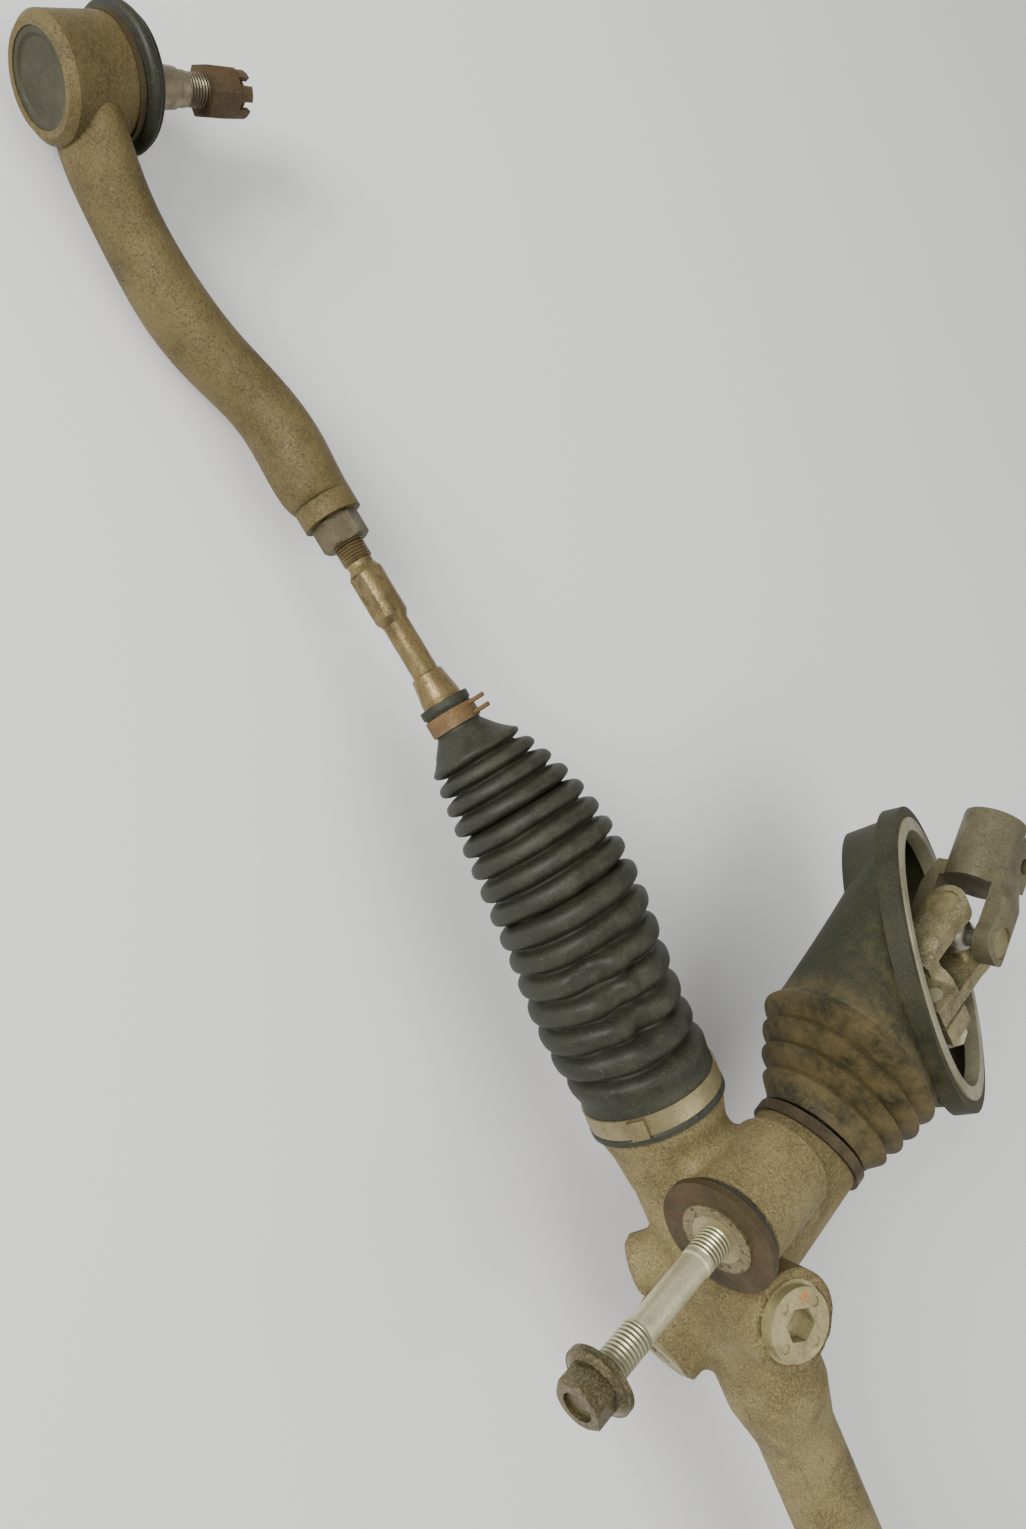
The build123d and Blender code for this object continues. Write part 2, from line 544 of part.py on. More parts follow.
hollow = bar(RACK, X, RACK_R + 0.8, -20, 112) + bar(RACK, X, 13.2, 112, FAR_CLAMP_X)
hollow = hollow + bar(RACK, X, 17.8, CLAMP_X - 20, -12) + bar(RACK, X, 17.8, FAR_CLAMP_X - 31,
                                                          FAR_CLAMP_X + 20)
hollow = hollow + bar(PINION, PIN, 10.2, -28, 25) + bar(PINION, PIN, 9.0, -32, -10)
hollow = hollow + bar(PINION, PIN, 12.5, -40, -32) + bar(PINION, PIN, 17.5, BEAR_A, BEAR_B)
hollow = hollow + bar(PINION, PIN, 19.0, BEAR_B, 50) + bar(PINION, PIN, 16.0, 50, TOWER_TOP + 1)
hollow = hollow + bar(CROSS, GUIDE, GUIDE_R, 0, 28.2) + bar(CROSS, GUIDE, PLUG_R, 28.2, 45)
for x in MOUNTS.values():
    hollow = hollow + bar((x, 0, 0), Y, BUSH_R, -60, 10)
parts["rack_housing"] = casting - hollow

BUSHING_A = FAR_CLAMP_X - 75
parts["rack_bushing_far"] = pipe(RACK, X, 13.2, RACK_R + GAP, BUSHING_A, BUSHING_A + 28)

# ---------------------------------------------------------------- universal joint
JOINT = tuple(at(PINION, PIN, JOINT_AT))
UPPER_CUP = unit((0.22, -0.09, 0.971))               # trunnion line held by the upper yoke
UPPER = Vector(-0.578, 0.790, 0.204)                  # upper shaft direction
UPPER = (UPPER - UPPER_CUP * UPPER_CUP.dot(UPPER)).normalized()
LOWER_CUP = vec(PIN).cross(UPPER_CUP).normalized()    # trunnion line held by the lower yoke
TRUNNION_R = 4.6
CUP_R = 7.6
CUP_IN, CUP_OUT = 12.5, 22.0


def cross_axis(line):
    return bar(tuple(at(JOINT, line, 0)), line, TRUNNION_R, -20.8, 20.8)


spider = cross_axis(UPPER_CUP) + cross_axis(LOWER_CUP) + ball(JOINT, 9.2)
parts["joint_spider"] = spider


def cups(line):
    pair = []
    for sign in (-1, 1):
        way = vec(line) * sign
        cup = bar(JOINT, way, CUP_R, CUP_IN, CUP_OUT) - bar(JOINT, way, TRUNNION_R + GAP, 5, 20.9)
        pair.append(cup)
    return joined(pair)


parts["lower_joint_cups"] = cups(LOWER_CUP)
parts["upper_joint_cups"] = cups(UPPER_CUP)
EAR_A, EAR_B = 13.5, 23.0
BASE_AT = 26.0


def yoke(shaft_dir, line, hub_r, hub_end):
    # shaft_dir points from the joint centre down the shaft, line is the trunnion axis
    body = bar(JOINT, shaft_dir, hub_r, BASE_AT, hub_end)
    over = vec(shaft_dir).cross(vec(line))
    for sign in (-1, 1):
        way = vec(line) * sign
        ear = bar(JOINT, way, 11.0, EAR_A, EAR_B)
        plate = Plane(origin=vec(JOINT) + way * ((EAR_A + EAR_B) / 2) + vec(shaft_dir) * 17,
                      x_dir=way, z_dir=vec(shaft_dir))
        arm_plate = plate * Box(EAR_B - EAR_A, 20, 34)
        body = body + ear + arm_plate
    bridge = Plane(origin=at(JOINT, shaft_dir, BASE_AT + 4), x_dir=vec(line), z_dir=vec(shaft_dir))
    body = body + bridge * Box(2 * EAR_B, 20, 8)
    keep = turned(JOINT, shaft_dir, [(0, -12), (23.4, -12), (23.4, 20), (19, BASE_AT + 9),
                                     (hub_r, BASE_AT + 14), (hub_r, hub_end), (0, hub_end)])
    body = body & keep
    body = body - bar(JOINT, line, CUP_R, -30, 30)
    return body, over


DOWN = tuple(vec(PIN) * -1)
lower_yoke, lower_side = yoke(DOWN, LOWER_CUP, 14.0, 52.0)
pinch = Plane(origin=at(JOINT, DOWN, 43) + lower_side * 15, x_dir=vec(LOWER_CUP), z_dir=vec(DOWN))
lower_yoke = lower_yoke + pinch * Box(24, 18, 16)
lower_yoke = lower_yoke - bar(JOINT, DOWN, SPLINE_R, 10, 60) - pinch * Pos(0, 2, 0) * Box(2, 30, 20)
bolt_at = at(JOINT, DOWN, 43) + lower_side * 17
lower_yoke = lower_yoke - bar(tuple(bolt_at), LOWER_CUP, 4.0, -20, 20)
parts["lower_yoke"] = lower_yoke
pinch_bolt = bar(tuple(bolt_at), LOWER_CUP, 4.0, -12.0, 14.0)
pinch_bolt = pinch_bolt + hexagon(tuple(bolt_at), LOWER_CUP, 12, 12.0, 18.0)
parts["lower_pinch_bolt"] = pinch_bolt

UPPER_END = 62.0
upper_yoke, upper_side = yoke(tuple(UPPER), UPPER_CUP, 15.0, UPPER_END)
upper_pinch = Plane(origin=at(JOINT, UPPER, 47) + upper_side * 14, x_dir=UPPER_CUP, z_dir=UPPER)
upper_yoke = upper_yoke + upper_pinch * Box(26, 20, 24)
upper_yoke = upper_yoke - bar(JOINT, UPPER, 8.0, 30, 70) - upper_pinch * Pos(0, 2, 0) * Box(2.4, 34, 40)
upper_hole = at(JOINT, UPPER, 47) + upper_side * 16.5
upper_yoke = upper_yoke - bar(tuple(upper_hole), UPPER_CUP, 4.0, -20, 20)
parts["upper_yoke"] = upper_yoke

# ---------------------------------------------------------------- column hole cover
RIM_N = unit((0.03, 0.33, 0.944))
RIM_L = (Vector(0.914, -0.391, 0.108) - RIM_N * RIM_N.dot(Vector(0.914, -0.391, 0.108))).normalized()
RIM_C = Vector(-3, 151, -2)
RIM_A, RIM_B = 73.0, 61.0
RIM_H = 9.0
COVER_WALL = 2.0


def rim_plane(lift):
    return Plane(origin=RIM_C + RIM_N * lift, x_dir=RIM_L, z_dir=RIM_N)


def rim_slab(a, b, low_z, high_z):
    return extrude(rim_plane(low_z) * Ellipse(a, b), high_z - low_z)


fold_line = [(76.0, 24.6, 0.0), (80.0, 26.5, 0.5), (85.5, 31.5, 1.5), (89.5, 27.5, 2.5),
             (94.5, 36.0, 3.8), (99.0, 30.5, 4.8), (104.0, 40.0, 6.0), (108.5, 35.0, 7.0),
             (114.0, 43.5, 8.2), (119.0, 39.5, 9.2)]
shift_dir = (Vector(-0.8, -0.15, -0.39) - vec(PIN) * vec(PIN).dot(Vector(-0.8, -0.15, -0.39)))
shift_dir = shift_dir.normalized()


def fold_rings(inset):
    rings = []
    for h, r, off in fold_line:
        o = at(PINION, PIN, h) + shift_dir * off
        rings.append(Plane(origin=o, x_dir=shift_dir, z_dir=vec(PIN)) * Circle(r - inset))
    return rings


def cover_body(inset, drop):
    # from the last fold to the underside of the rim; drop moves the oval down the pinion axis
    height, r, off = fold_line[-1]
    o = at(PINION, PIN, height) + shift_dir * off
    start = (RIM_L - vec(PIN) * vec(PIN).dot(RIM_L)).normalized()
    foot = Plane(origin=o, x_dir=start, z_dir=vec(PIN)) * Circle(r - inset)
    under = Plane(origin=RIM_C + RIM_N * (1 - RIM_H) - vec(PIN) * drop, x_dir=RIM_L, z_dir=RIM_N)
    crown = under * Ellipse(RIM_A - 4 - inset, RIM_B - 4 - inset)
    return loft([foot, crown], ruled=True)


folds = loft(fold_rings(0), ruled=True)
folds_in = loft(fold_rings(COVER_WALL), ruled=True)
def cover_shoulder(inset, rise):
    # the deep end of the cover, squarer than the cone, under the end of the oval away from the rack
    level = RIM_N * (-RIM_H - 22 + rise)
    deep = Plane(origin=RIM_C + level - RIM_L * 10 + RIM_S * 8, x_dir=RIM_L, z_dir=RIM_N)
    top = Plane(origin=RIM_C + RIM_N * (1 - RIM_H), x_dir=RIM_L, z_dir=RIM_N)
    return loft([deep * Ellipse(RIM_A - 16 - inset, RIM_B - 20 - inset),
                 top * Ellipse(RIM_A - 4 - inset, RIM_B - 4 - inset)], ruled=True)


RIM_S = RIM_N.cross(RIM_L)
body = cover_body(0, 0)
body_in = cover_body(COVER_WALL + 1, 2 * COVER_WALL)
shoulder = cover_shoulder(0, 0)
shoulder_in = cover_shoulder(COVER_WALL + 1, COVER_WALL + 0.5)
mouth = rim_slab(RIM_A - 5.5, RIM_B - 5.5, -6.5, 1)
throat = rim_slab(RIM_A - 9.5, RIM_B - 9.5, -11, -6)
cover = folds + body + shoulder + rim_slab(RIM_A, RIM_B, -RIM_H, 0)
for inner in (mouth, throat, body_in, shoulder_in, folds_in):
    cover = cover - inner
neck_cut = bar(PINION, PIN, TOWER_R, 60, TOWER_TOP + 2.2)
parts["column_cover"] = cover - neck_cut

flange = rim_slab(RIM_A - 5.6, RIM_B - 5.6, -6.0, 1.0) - rim_slab(RIM_A - 12, RIM_B - 12, -7, 2)
parts["cover_flange"] = flange
band = pipe(PINION, PIN, 26.3, TOWER_R, TOWER_TOP - 5, TOWER_TOP)
parts["cover_clamp"] = band

for name, shape in parts.items():
    solid = shape if isinstance(shape, (Solid, Compound, Part)) else Part(shape)
    export_step(solid, "parts/" + name + ".step")
    box = solid.bounding_box()
    print(f"{name:24s} {solid.volume:10.0f}  {len(solid.solids())}  "
          f"{box.min.X:7.1f} {box.max.X:7.1f} {box.min.Y:7.1f} {box.max.Y:7.1f} "
          f"{box.min.Z:7.1f} {box.max.Z:7.1f}")
print(len(parts), "parts")
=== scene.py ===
import json
import math

import bpy
from mathutils import Matrix, Vector, noise
from mathutils.bvhtree import BVHTree


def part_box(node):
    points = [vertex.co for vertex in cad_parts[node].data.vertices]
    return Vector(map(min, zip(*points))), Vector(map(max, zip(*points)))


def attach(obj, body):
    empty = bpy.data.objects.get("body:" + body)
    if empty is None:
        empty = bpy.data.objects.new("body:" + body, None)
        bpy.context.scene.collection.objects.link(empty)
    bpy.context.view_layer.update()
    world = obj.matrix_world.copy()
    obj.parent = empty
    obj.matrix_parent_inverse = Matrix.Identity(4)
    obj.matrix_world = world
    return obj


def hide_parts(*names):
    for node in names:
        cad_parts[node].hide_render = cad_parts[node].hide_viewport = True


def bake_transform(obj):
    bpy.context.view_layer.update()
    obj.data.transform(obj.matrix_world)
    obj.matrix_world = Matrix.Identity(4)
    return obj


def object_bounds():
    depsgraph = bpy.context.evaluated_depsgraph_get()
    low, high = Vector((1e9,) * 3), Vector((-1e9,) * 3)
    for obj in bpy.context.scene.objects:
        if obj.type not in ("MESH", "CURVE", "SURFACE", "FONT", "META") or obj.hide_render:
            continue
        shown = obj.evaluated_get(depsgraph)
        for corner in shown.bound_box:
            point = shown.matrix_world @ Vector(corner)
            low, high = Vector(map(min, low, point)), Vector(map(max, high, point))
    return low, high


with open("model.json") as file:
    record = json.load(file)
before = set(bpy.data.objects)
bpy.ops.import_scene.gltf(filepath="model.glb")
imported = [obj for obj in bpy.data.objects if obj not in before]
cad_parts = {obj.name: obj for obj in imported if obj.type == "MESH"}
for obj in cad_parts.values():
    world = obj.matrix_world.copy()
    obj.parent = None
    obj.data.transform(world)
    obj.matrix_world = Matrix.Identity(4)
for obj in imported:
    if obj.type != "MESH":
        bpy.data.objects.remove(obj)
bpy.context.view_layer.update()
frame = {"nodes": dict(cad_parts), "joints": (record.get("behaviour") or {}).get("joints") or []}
NODES = frame["nodes"]
MM = 0.001


# ---------------------------------------------------------------- layout, read from the frame
def joint(name):
    return next(j for j in frame["joints"] if j["name"] == name)


def middle(node):
    low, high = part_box(node)
    return (low + high) / 2


BALL = Vector(joint("inner_joint_near_swing")["pos_m"])
HEAD = Vector(joint("outer_joint_near_tilt")["pos_m"])
STUD = Vector(joint("outer_joint_near_spin")["axis"])
PINION = Vector(joint("pinion_turn")["pos_m"])
PIN = Vector(joint("pinion_turn")["axis"])
CLAMP = Vector((middle("bellows_clamp_near").x, BALL.y, BALL.z))
MID_X = (middle("bellows_clamp_near").x + middle("bellows_clamp_far").x) / 2
ROD = (middle("jam_nut_near") - BALL).normalized()
STRAIGHT = (CLAMP - BALL).length
OUT = Vector((-1, 0, 0))
Y = Vector((0, 1, 0))


# ---------------------------------------------------------------- materials
class Paint:
    # a small builder for procedural node materials in row coordinates
    def __init__(self, name):
        self.mat = bpy.data.materials.new(name)
        self.mat.use_nodes = True
        self.tree = self.mat.node_tree
        self.bsdf = self.tree.nodes["Principled BSDF"]
        self.place = self.tree.nodes.new("ShaderNodeTexCoord").outputs["Object"]
        self.height = None

    def put(self, socket, value):
        if isinstance(value, bpy.types.NodeSocket):
            self.tree.links.new(value, socket)
        elif isinstance(value, (tuple, list)) and len(value) == 3 and socket.type == "RGBA":
            socket.default_value = (*value, 1)
        else:
            socket.default_value = value

    def math(self, op, a, b=0.0, clamp=False):
        node = self.tree.nodes.new("ShaderNodeMath")
        node.operation = op
        node.use_clamp = clamp
        self.put(node.inputs[0], a)
        self.put(node.inputs[1], b)
        return node.outputs[0]

    def noise(self, scale, detail=5, rough=0.6, stretch=None, warp=0.0):
        node = self.tree.nodes.new("ShaderNodeTexNoise")
        node.inputs["Scale"].default_value = scale
        node.inputs["Detail"].default_value = detail
        node.inputs["Roughness"].default_value = rough
        node.inputs["Distortion"].default_value = warp
        place = self.place
        if stretch:
            mapping = self.tree.nodes.new("ShaderNodeMapping")
            mapping.inputs["Scale"].default_value = stretch
            self.tree.links.new(place, mapping.inputs["Vector"])
            place = mapping.outputs["Vector"]
        self.tree.links.new(place, node.inputs["Vector"])
        return node.outputs["Fac"]

    def ramp(self, value, low, high):
        node = self.tree.nodes.new("ShaderNodeMapRange")
        node.inputs["From Min"].default_value = low
        node.inputs["From Max"].default_value = high
        self.put(node.inputs["Value"], value)
        return node.outputs["Result"]

    def mix(self, share, a, b):
        node = self.tree.nodes.new("ShaderNodeMix")
        node.data_type = "RGBA"
        self.put(node.inputs["Factor"], share)
        self.put(node.inputs[6], a)
        self.put(node.inputs[7], b)
        return node.outputs[2]

    def along(self, origin, axis):
        # distance along an axis, in mm
        shift = self.tree.nodes.new("ShaderNodeVectorMath")
        shift.operation = "SUBTRACT"
        self.tree.links.new(self.place, shift.inputs[0])
        shift.inputs[1].default_value = origin
        dot = self.tree.nodes.new("ShaderNodeVectorMath")
        dot.operation = "DOT_PRODUCT"
        self.tree.links.new(shift.outputs[0], dot.inputs[0])
        dot.inputs[1].default_value = axis
        return self.math("MULTIPLY", dot.outputs["Value"], 1000.0)

    def near(self, point, radius, soft):
        # 1 within radius of a point, 0 past radius + soft, in mm
        node = self.tree.nodes.new("ShaderNodeVectorMath")
        node.operation = "DISTANCE"
        self.tree.links.new(self.place, node.inputs[0])
        node.inputs[1].default_value = point
        return self.ramp(self.math("MULTIPLY", node.outputs["Value"], 1000.0), radius + soft, radius)

    def span(self, value, low, high, soft=0.3):
        rise = self.ramp(value, low - soft, low)
        fall = self.ramp(value, high + soft, high)
        return self.math("MULTIPLY", rise, fall)

    def raised(self, value, amount):
        # adds value * amount (mm) to the bump height
        term = self.math("MULTIPLY", value, amount)
        self.height = term if self.height is None else self.math("ADD", self.height, term)

    def facing_up(self):
        node = self.tree.nodes.new("ShaderNodeNewGeometry")
        split = self.tree.nodes.new("ShaderNodeSeparateXYZ")
        self.tree.links.new(node.outputs["Normal"], split.inputs[0])
        return split.outputs["Z"]

    def close(self, color, rough, metal=0.0, spec=0.5):
        self.put(self.bsdf.inputs["Base Color"], color)
        self.put(self.bsdf.inputs["Roughness"], rough)
        self.put(self.bsdf.inputs["Metallic"], metal)
        self.bsdf.inputs["Specular IOR Level"].default_value = spec
        if self.height is not None:
            bump = self.tree.nodes.new("ShaderNodeBump")
            bump.inputs["Strength"].default_value = 1.0
            bump.inputs["Distance"].default_value = MM
            self.tree.links.new(self.height, bump.inputs["Height"])
            self.tree.links.new(bump.outputs["Normal"], self.bsdf.inputs["Normal"])
        return self.mat


def weathered(name, light, dark, stain, rough, metal=0.0, grain=0.12, patch=45.0, stains=0.5,
              threads=(), marks=(), spec=0.5, streak=None, zones=()):
    # light and dark in patches, spots of stain, sparkle and pits, painted shade in the thread grooves, with
    # grain as bump
    # threads: (origin, axis, from, to, pitch); marks: (point, radius, soft edge, colour);
    # zones: (origin, axis, from, to, colour); all in mm
    p = Paint(name)
    tone = p.ramp(p.noise(patch, 6, 0.65, streak), 0.38, 0.64)
    color = p.mix(tone, dark, light)
    fleck = p.ramp(p.noise(patch * 14, 3, 0.7), 0.35, 0.75)
    color = p.mix(p.math("MULTIPLY", fleck, 0.35), color, tuple(c * 1.35 for c in light))
    spread = p.ramp(p.noise(patch * 0.6, 8, 0.7, None, 0.4), 0.66 - stains * 0.25, 0.74 - stains * 0.1)
    color = p.mix(p.math("MULTIPLY", spread, 0.75), color, stain)
    for origin, axis, low, high, paint in zones:
        shade = p.mix(tone, tuple(c * 0.55 for c in paint), paint)
        color = p.mix(p.span(p.along(origin, axis), low, high), color, shade)
    for point, radius, soft, paint in marks:
        edge = p.math("MULTIPLY", p.near(point, radius, soft), p.ramp(p.noise(700, 3), 0.35, 0.5))
        color = p.mix(edge, color, paint)
    sparkle = p.ramp(p.noise(1000, 4, 0.8), 0.48, 0.66)
    color = p.mix(p.math("MULTIPLY", sparkle, min(0.6, grain * 2.2)), color, tuple(c * 1.7 for c in light))
    pits = p.ramp(p.noise(1300, 3, 0.7), 0.56, 0.70)
    color = p.mix(p.math("MULTIPLY", pits, 0.55), color, tuple(c * 0.55 for c in dark))
    p.raised(p.noise(900, 3, 0.6), grain)
    p.raised(p.noise(260, 4, 0.6), grain * 1.6)
    p.raised(pits, -grain * 0.8)
    for origin, axis, low, high, pitch in threads:
        far = p.along(origin, axis)
        ridge = p.math("PINGPONG", p.math("MULTIPLY", far, 2 / pitch), 1.0)
        zone = p.span(far, low, high)
        p.raised(p.math("MULTIPLY", ridge, zone), pitch * 0.45)
        # painted shade: each thread groove is darkened towards the dark colour
        groove_shade = p.math("MULTIPLY", p.math("SUBTRACT", 1.0, ridge), zone)
        color = p.mix(p.math("MULTIPLY", groove_shade, 0.7), color, tuple(c * 0.4 for c in dark))
    rough_map = p.math("ADD", p.math("MULTIPLY", p.math("SUBTRACT", tone, 0.5), -0.16), rough)
    return p.close(color, rough_map, metal, spec)


def rubber(name, base, dust_and_top_light, dust_and_top_light_share, rough=0.55, spec=0.4, caked=None):
    # dark rubber, dusty where it faces up, and with that painted light: lighter on the upward faces, darker
    # on the faces turned down; caked: (origin, axis, from, to, colour) of dried mud
    p = Paint(name)
    tone = p.ramp(p.noise(60, 5, 0.6), 0.3, 0.7)
    color = p.mix(tone, tuple(c * 0.7 for c in base), base)
    # painted light along with the dust: faces turned up get the lighter powder colour, faces turned down
    # stay darker as if in shade
    up = p.ramp(p.facing_up(), -0.2, 0.9)
    speck = p.ramp(p.noise(1500, 2, 0.8), 0.62, 0.72)
    powder = p.ramp(p.noise(90, 7, 0.75), 0.42, 0.75)
    share = p.math("MULTIPLY", p.math("MULTIPLY", powder, up), dust_and_top_light_share)
    color = p.mix(share, color, dust_and_top_light)
    if caked:
        origin, axis, low, high, paint = caked
        mud = p.ramp(p.noise(45, 7, 0.75), 0.36, 0.62)
        mud = p.math("MULTIPLY", mud, p.span(p.along(origin, axis), low, high, 14))
        color = p.mix(p.math("MULTIPLY", mud, 0.85), color, paint)
    color = p.mix(p.math("MULTIPLY", speck, 0.45), color, tuple(c * 2.2 for c in dust_and_top_light))
    p.raised(p.noise(1200, 2, 0.6), 0.03)
    p.raised(p.noise(150, 4, 0.6), 0.12)
    return p.close(color, p.math("ADD", p.math("MULTIPLY", share, 0.4), rough), 0.0, spec)


def use(material, *nodes):
    for n in nodes:
        data = NODES[n].data
        data.materials.clear()
        data.materials.append(material)


def both(*names):
    return [n + s for n in names for s in ("_near", "_far")]


def mirrored(p):
    return Vector((2 * MID_X - p.x, p.y, p.z))


ROD_FAR = Vector((-ROD.x, ROD.y, ROD.z))
STUD_FAR = Vector((-STUD.x, STUD.y, STUD.z))
BOLT = Vector((middle("mounting_bolt").x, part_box("mounting_bolt")[1].y, middle("mounting_bolt").z))
FINE, COARSE = 1.25, 1.75
ROD_THREAD, STUD_THREAD = (170.5, 178), (41.6, 66)
TIP_THREAD, SHANK_THREAD, HEAD_SPAN = (0, 42), (80, 99), (99.5, 130)
ORANGE = (0.55, 0.19, 0.03)
GUIDE = middle("rack_guide_cap")
PLUG_MARK = GUIDE + Vector((-8.2, 3.85, 8.22)) * MM
BOSS_MARK = GUIDE + Vector((1.1, 9.35, 15.12)) * MM

sand = weathered("sand cast aluminium", (0.225, 0.178, 0.080), (0.125, 0.095, 0.038), (0.062, 0.045, 0.018),
                 0.66, 0.10, grain=0.26, patch=38, stains=0.55,
                 marks=[(BOSS_MARK, 2.2, 1.2, ORANGE)], spec=0.3)
use(sand, "rack_housing")
forged = weathered("forged steel", (0.130, 0.097, 0.036), (0.080, 0.058, 0.021), (0.042, 0.029, 0.011),
                   0.60, 0.10, grain=0.20, patch=40, stains=0.45, spec=0.3)
use(forged, *both("tie_rod_end", "inner_socket"))
use(weathered("dark cap", (0.044, 0.041, 0.018), (0.026, 0.024, 0.011), (0.018, 0.015, 0.008),
              0.5, 0.0, grain=0.05, patch=60, spec=0.3), *both("end_cap"))
rods = [(BALL, ROD, *ROD_THREAD, FINE), (mirrored(BALL), ROD_FAR, *ROD_THREAD, FINE)]
use(weathered("oxidised rod", (0.235, 0.172, 0.074), (0.120, 0.084, 0.034), (0.050, 0.034, 0.014),
              0.38, 0.6, grain=0.07, patch=70, stains=0.45, threads=rods, spec=0.4, streak=(1, 3, 3)),
    *both("tie_rod"))
studs = [(HEAD, STUD, *STUD_THREAD, FINE), (mirrored(HEAD), STUD_FAR, *STUD_THREAD, FINE)]
use(weathered("stud steel", (0.30, 0.26, 0.17), (0.16, 0.135, 0.08), (0.16, 0.075, 0.03),
              0.42, 0.7, grain=0.05, patch=80, threads=studs), *both("ball_stud"))
use(weathered("brown nut", (0.105, 0.088, 0.042), (0.060, 0.046, 0.022), (0.055, 0.030, 0.013),
              0.55, 0.3, grain=0.10, patch=90), *both("jam_nut"))
use(weathered("rusty nut", (0.100, 0.066, 0.025), (0.052, 0.032, 0.012), (0.085, 0.033, 0.010),
              0.65, 0.2, grain=0.16, patch=90, stains=0.7), *both("castle_nut"))
bolt_threads = [(BOLT, -Y, *TIP_THREAD, COARSE), (BOLT, -Y, *SHANK_THREAD, COARSE)]
zinc = weathered("zinc bolt", (0.68, 0.65, 0.42), (0.42, 0.395, 0.24), (0.24, 0.20, 0.10),
                 0.38, 0.7, grain=0.05, patch=60, stains=0.25, threads=bolt_threads,
                 zones=[(BOLT, -Y, *HEAD_SPAN, (0.125, 0.098, 0.045))])
use(zinc, "mounting_bolt", "lower_pinch_bolt")
band = weathered("clamp band", (0.30, 0.25, 0.13), (0.175, 0.142, 0.070), (0.085, 0.056, 0.022),
                 0.42, 0.6, grain=0.04, patch=70, stains=0.45)
use(band, *both("bellows_clamp"))
use(weathered("rusty band", (0.175, 0.105, 0.040), (0.095, 0.056, 0.022), (0.21, 0.095, 0.028),
              0.6, 0.3, grain=0.10, patch=120, stains=0.6), *both("small_clamp"))
use(weathered("dull band", (0.085, 0.060, 0.026), (0.042, 0.032, 0.015), (0.07, 0.034, 0.012),
              0.55, 0.4, grain=0.08, patch=110), *both("boot_ring"), "cover_clamp")
worn = [(middle("mount_washer_" + side), 14.0, 1.0, (0.20, 0.165, 0.085)) for side in ("near", "far")]
use(weathered("rusty washer", (0.066, 0.046, 0.015), (0.036, 0.024, 0.008), (0.08, 0.033, 0.009),
              0.62, 0.2, grain=0.14, patch=90, stains=0.6, marks=worn), *both("mount_washer"))
pale = weathered("pale steel", (0.34, 0.29, 0.155), (0.20, 0.17, 0.088), (0.10, 0.076, 0.034),
                 0.42, 0.5, grain=0.06, patch=80, stains=0.4)
use(pale, "bearing_retainer", "pinion_end_cap", "rack_guide_spring", *both("mount_sleeve", "lock_washer"))
use(weathered("plug", (0.37, 0.32, 0.165), (0.235, 0.20, 0.10), (0.11, 0.085, 0.038),
              0.46, 0.4, grain=0.08, patch=80, stains=0.35, marks=[(PLUG_MARK, 2.2, 1.0, ORANGE)]),
    "rack_guide_cap")
use(weathered("cast yoke", (0.135, 0.118, 0.062), (0.080, 0.068, 0.036), (0.052, 0.040, 0.020),
              0.5, 0.3, grain=0.16, patch=60, stains=0.4), "upper_yoke")
use(weathered("pitted yoke", (0.27, 0.235, 0.125), (0.115, 0.098, 0.048), (0.062, 0.047, 0.022),
              0.5, 0.4, grain=0.26, patch=90, stains=0.55), "lower_yoke")
use(weathered("cup steel", (0.29, 0.245, 0.115), (0.155, 0.13, 0.062), (0.078, 0.058, 0.028),
              0.42, 0.5, grain=0.06, patch=90, stains=0.4), "lower_joint_cups", "upper_joint_cups")
ground = weathered("ground steel", (0.50, 0.48, 0.40), (0.36, 0.34, 0.27), (0.2, 0.17, 0.12),
                   0.28, 0.9, grain=0.02, patch=60, stains=0.2)
use(ground, "rack_bar", "pinion_shaft", "joint_spider",
    "pinion_bearing_inner", "pinion_bearing_outer", "pinion_needle_bearing")
plastic = weathered("pale plastic", (0.30, 0.285, 0.18), (0.20, 0.185, 0.115), (0.11, 0.095, 0.055),
                    0.5, 0.0, grain=0.05, patch=50)
use(plastic, "cover_flange", "rack_bushing_far", "rack_guide_liner", *both("inner_seat", "outer_seat"))
use(weathered("die cast", (0.45, 0.43, 0.35), (0.32, 0.30, 0.24), (0.2, 0.18, 0.13),
              0.5, 0.5, grain=0.1), "rack_guide")

bellows_rubber = rubber("bellows rubber", (0.021, 0.023, 0.014), (0.095, 0.088, 0.050), 0.55, 0.52, 0.35)
cover_rubber = rubber("cover rubber", (0.027, 0.029, 0.013), (0.125, 0.100, 0.042), 0.7, 0.6, 0.3,
                      (middle("cover_clamp"), PIN, 4, 44, (0.155, 0.112, 0.046)))
boot_rubber = rubber("boot rubber", (0.020, 0.020, 0.011), (0.075, 0.068, 0.034), 0.45, 0.5, 0.35)
bush_rubber = rubber("bush rubber", (0.028, 0.028, 0.020), (0.08, 0.07, 0.045), 0.3, 0.5)
use(bellows_rubber, *both("bellows"))
use(cover_rubber, "column_cover")
use(boot_rubber, "pinion_seal", *both("outer_boot"))
use(bush_rubber, *both("mount_rubber"))


# ---------------------------------------------------------------- mesh helpers
def piece(name, verts, faces, material, flip=False):
    if flip:
        verts = [mirrored(v) for v in verts]
        faces = [tuple(reversed(f)) for f in faces]
    mesh = bpy.data.meshes.new(name)
    mesh.from_pydata([tuple(v) for v in verts], [], faces)
    mesh.update()
    for poly in mesh.polygons:
        poly.use_smooth = True
    obj = bpy.data.objects.new(name, mesh)
    bpy.context.scene.collection.objects.link(obj)
    obj.data.materials.append(material)
    return obj


